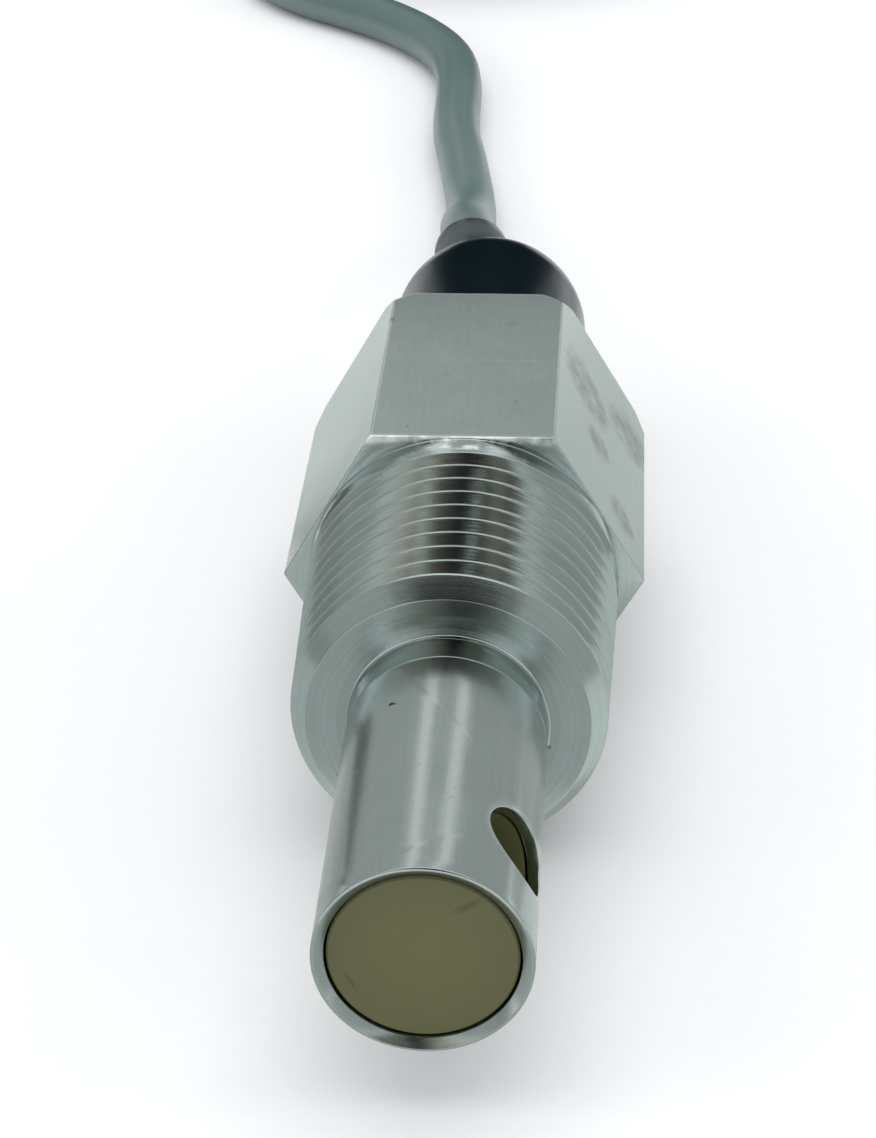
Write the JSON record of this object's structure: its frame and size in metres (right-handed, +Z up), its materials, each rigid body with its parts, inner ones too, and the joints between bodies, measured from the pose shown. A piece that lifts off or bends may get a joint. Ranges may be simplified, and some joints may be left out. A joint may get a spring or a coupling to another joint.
{
  "type": "conductivity sensor",
  "caption": "Screw-in contacting conductivity sensor: tapered pipe thread, hexagon, steel tube with a cross passage, rubber boot and coiled cable with bare leads.",
  "frame": {"origin": "on the surface the sensor lies on, under the middle of its length without the cable", "axes": "+Y along the sensor from its tip to its cable, +Z up from the flat it lies on, +X to the right seen from the tip"},
  "size_m": [0.0594, 0.3019, 0.0314],
  "materials": {
    "turned_steel": "satin, turned and milled",
    "drawn_steel": "satin, drawn lengthwise",
    "holder_plastic": "faced olive-tan plastic",
    "electrode_metal": "machined",
    "element_metal": "bright",
    "seal_rubber": "matte",
    "gasket_plastic": "matte",
    "small_steel": "plain",
    "nut_brass": "plain",
    "shrink_black": "shrunk sleeve",
    "lead_white": "extruded insulation",
    "lead_black": "extruded insulation",
    "lead_green": "extruded insulation",
    "lead_red": "extruded insulation",
    "potting_resin": "cast resin",
    "boot_rubber": "moulded, semi-gloss",
    "cable_jacket": "extruded, satin",
    "tie_black": "moulded strap",
    "tinned_copper": "tinned strands"
  },
  "bodies": {
    "root": {"body": "turned_steel", "shield_tube": "drawn_steel", "electrode_holder": "holder_plastic", "drive_electrode": "electrode_metal", "sense_electrode": "electrode_metal", "temperature_sensor": "element_metal", "tip_o_ring": "seal_rubber", "stem_o_ring_front": "seal_rubber", "stem_o_ring_rear": "seal_rubber", "holder_gasket": "gasket_plastic", "locating_pin": "small_steel", "nut_washer": "small_steel", "holder_nut": "nut_brass", "splice_sleeves": "shrink_black", "drive_lead": "lead_white", "sense_lead": "lead_black", "temperature_lead_a": "lead_green", "temperature_lead_b": "lead_red", "potting": "potting_resin", "cable_crimp": "nut_brass", "cable_boot": "boot_rubber", "cable": "cable_jacket", "cable_coil": "cable_jacket", "coil_tie_left": "tie_black", "coil_tie_right": "tie_black", "cable_tail": "cable_jacket", "end_sleeve": "shrink_black", "white_lead": "lead_white", "black_lead": "lead_black", "green_lead": "lead_green", "red_lead": "lead_red", "tinned_ends": "tinned_copper"}
  },
  "joints": []
}
